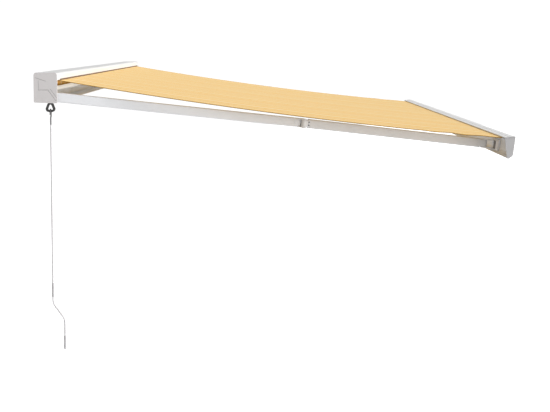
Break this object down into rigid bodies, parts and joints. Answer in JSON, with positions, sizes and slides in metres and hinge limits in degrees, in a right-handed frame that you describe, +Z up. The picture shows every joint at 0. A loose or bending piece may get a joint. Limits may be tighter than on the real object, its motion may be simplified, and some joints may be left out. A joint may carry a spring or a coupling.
{
  "type": "cassette awning",
  "caption": "Wall-mounted cassette awning, open: folding arms carry a front bar that holds a striped cloth taut, with a hanging hand crank.",
  "frame": {"origin": "centre of the middle wall bracket's back face, on the wall", "axes": "+Y into the wall, so the awning reaches out along -Y; +X to the right seen from the front; +Z up"},
  "size_m": [4.5, 3.0234, 1.747],
  "materials": {
    "white_powder_coat": "smooth satin powder coat on extruded aluminium",
    "pale_powder_coat": "satin powder coat, a shade greyer than the cassette",
    "cast_aluminium_paint": "powder coat over a cast surface",
    "moulded_cap": "moulded, fine-grained light grey",
    "plain_steel": "turned steel pin",
    "zinc_steel": "zinc-plated steel",
    "gear_bronze": "gear bronze, greased",
    "awning_cloth": "woven awning cloth in fine yellow and cream stripes",
    "rolled_cloth": "the same cloth, wound on the roller",
    "black_enamel": "black coated steel eye",
    "hook_steel": "bright drawn wire",
    "rod_paint": "off-white coated tube",
    "grip_plastic": "off-white plastic sleeve"
  },
  "bodies": {
    "cassette": {"rear_profile": "white_powder_coat", "hood": "white_powder_coat", "end_cap_left": "moulded_cap", "end_cap_right": "moulded_cap", "wall_bracket_left": "cast_aluminium_paint", "wall_bracket_middle": "cast_aluminium_paint", "wall_bracket_right": "cast_aluminium_paint", "wall_bolt_left_low": "zinc_steel", "wall_bolt_left_high": "zinc_steel", "wall_bolt_middle_low": "zinc_steel", "wall_bolt_middle_high": "zinc_steel", "wall_bolt_right_low": "zinc_steel", "wall_bolt_right_high": "zinc_steel", "gearbox": "cast_aluminium_paint", "idle_bearing": "cast_aluminium_paint", "shoulder_bracket_left": "cast_aluminium_paint", "shoulder_bracket_right": "cast_aluminium_paint", "shoulder_pin_left": "plain_steel", "shoulder_pin_right": "plain_steel", "canopy": "awning_cloth"},
    "left_upper_arm": {"upper_root_left": "cast_aluminium_paint", "upper_arm_left": "pale_powder_coat", "elbow_fork_left": "cast_aluminium_paint", "elbow_pin_left": "plain_steel"},
    "left_forearm": {"elbow_knuckle_left": "cast_aluminium_paint", "forearm_left": "pale_powder_coat", "front_tongue_left": "cast_aluminium_paint"},
    "right_upper_arm": {"upper_root_right": "cast_aluminium_paint", "upper_arm_right": "pale_powder_coat", "elbow_fork_right": "cast_aluminium_paint", "elbow_pin_right": "plain_steel"},
    "right_forearm": {"elbow_knuckle_right": "cast_aluminium_paint", "forearm_right": "pale_powder_coat", "front_tongue_right": "cast_aluminium_paint", "front_pin_right": "plain_steel"},
    "front_bar": {"front_bar": "white_powder_coat", "bar_cap_left": "moulded_cap", "bar_cap_right": "moulded_cap", "bar_bracket_left": "cast_aluminium_paint", "bar_bracket_right": "cast_aluminium_paint", "front_pin_left": "plain_steel", "front_bolt_low": "plain_steel", "front_bolt_high": "plain_steel"},
    "roller": {"roller_tube": "zinc_steel", "fabric_roll": "rolled_cloth", "worm_wheel": "gear_bronze", "idle_gudgeon": "zinc_steel"},
    "crank_eye": {"crank_eye": "black_enamel"},
    "crank": {"crank_hook": "hook_steel", "crank_rod": "rod_paint"},
    "upper_grip": {"upper_grip": "grip_plastic"},
    "lower_grip": {"lower_grip": "grip_plastic"}
  },
  "joints": [
    {"name": "left_arm_fold", "type": "hinge", "parent": "cassette", "child": "left_upper_arm", "pos_m": [-2.185, -0.06, -0.0525], "axis": [0, -0.1194, 0.9928], "range_deg": [0, 78.75], "deforming": ["canopy"]},
    {"name": "left_elbow", "type": "hinge", "parent": "left_upper_arm", "child": "left_forearm", "pos_m": [-1.87702, -1.7098, -0.25098], "axis": [0, -0.1194, 0.9928], "range_deg": [-174.62, 0]},
    {"name": "left_front_pivot", "type": "hinge", "parent": "left_forearm", "child": "front_bar", "pos_m": [-1.73495, -2.93282, -0.39811], "axis": [0, -0.1194, 0.9928], "range_deg": [0, 95.86]},
    {"name": "right_shoulder", "type": "hinge", "parent": "cassette", "child": "right_upper_arm", "pos_m": [2.185, -0.06, -0.0525], "axis": [0, -0.1194, 0.9928], "range_deg": [-79.05, 0]},
    {"name": "right_elbow", "type": "hinge", "parent": "right_upper_arm", "child": "right_forearm", "pos_m": [1.87702, -1.7098, -0.25098], "axis": [0, -0.1194, 0.9928], "range_deg": [0, 174.62]},
    {"name": "roller_turn", "type": "hinge", "parent": "cassette", "child": "roller", "pos_m": [0, -0.07, 0.0225], "axis": [1, 0, 0], "range_deg": [-3962.39, 0]},
    {"name": "eye_turn", "type": "hinge", "parent": "cassette", "child": "crank_eye", "pos_m": [-2.212, -0.116, 0], "axis": [0, 0, 1], "continuous": true},
    {"name": "crank_swing", "type": "hinge", "parent": "crank_eye", "child": "crank", "pos_m": [-2.212, -0.116, -0.1496], "axis": [0, 1, 0], "range_deg": [-40, 40]},
    {"name": "upper_grip_turn", "type": "hinge", "parent": "crank", "child": "upper_grip", "pos_m": [-2.212, -0.116, -1.276], "axis": [0, 0, 1], "continuous": true},
    {"name": "lower_grip_turn", "type": "hinge", "parent": "crank", "child": "lower_grip", "pos_m": [-2.212, -0.188, -1.61], "axis": [0, 0, 1], "continuous": true}
  ],
  "couplings": [
    {"joint": "left_elbow", "follows": "left_arm_fold", "ratio": -2.2134},
    {"joint": "left_front_pivot", "follows": "left_arm_fold", "ratio": 1.2134},
    {"joint": "right_shoulder", "follows": "left_arm_fold", "ratio": -1},
    {"joint": "right_elbow", "follows": "left_arm_fold", "ratio": 2.2134},
    {"joint": "roller_turn", "follows": "left_arm_fold", "ratio": -50.25}
  ]
}
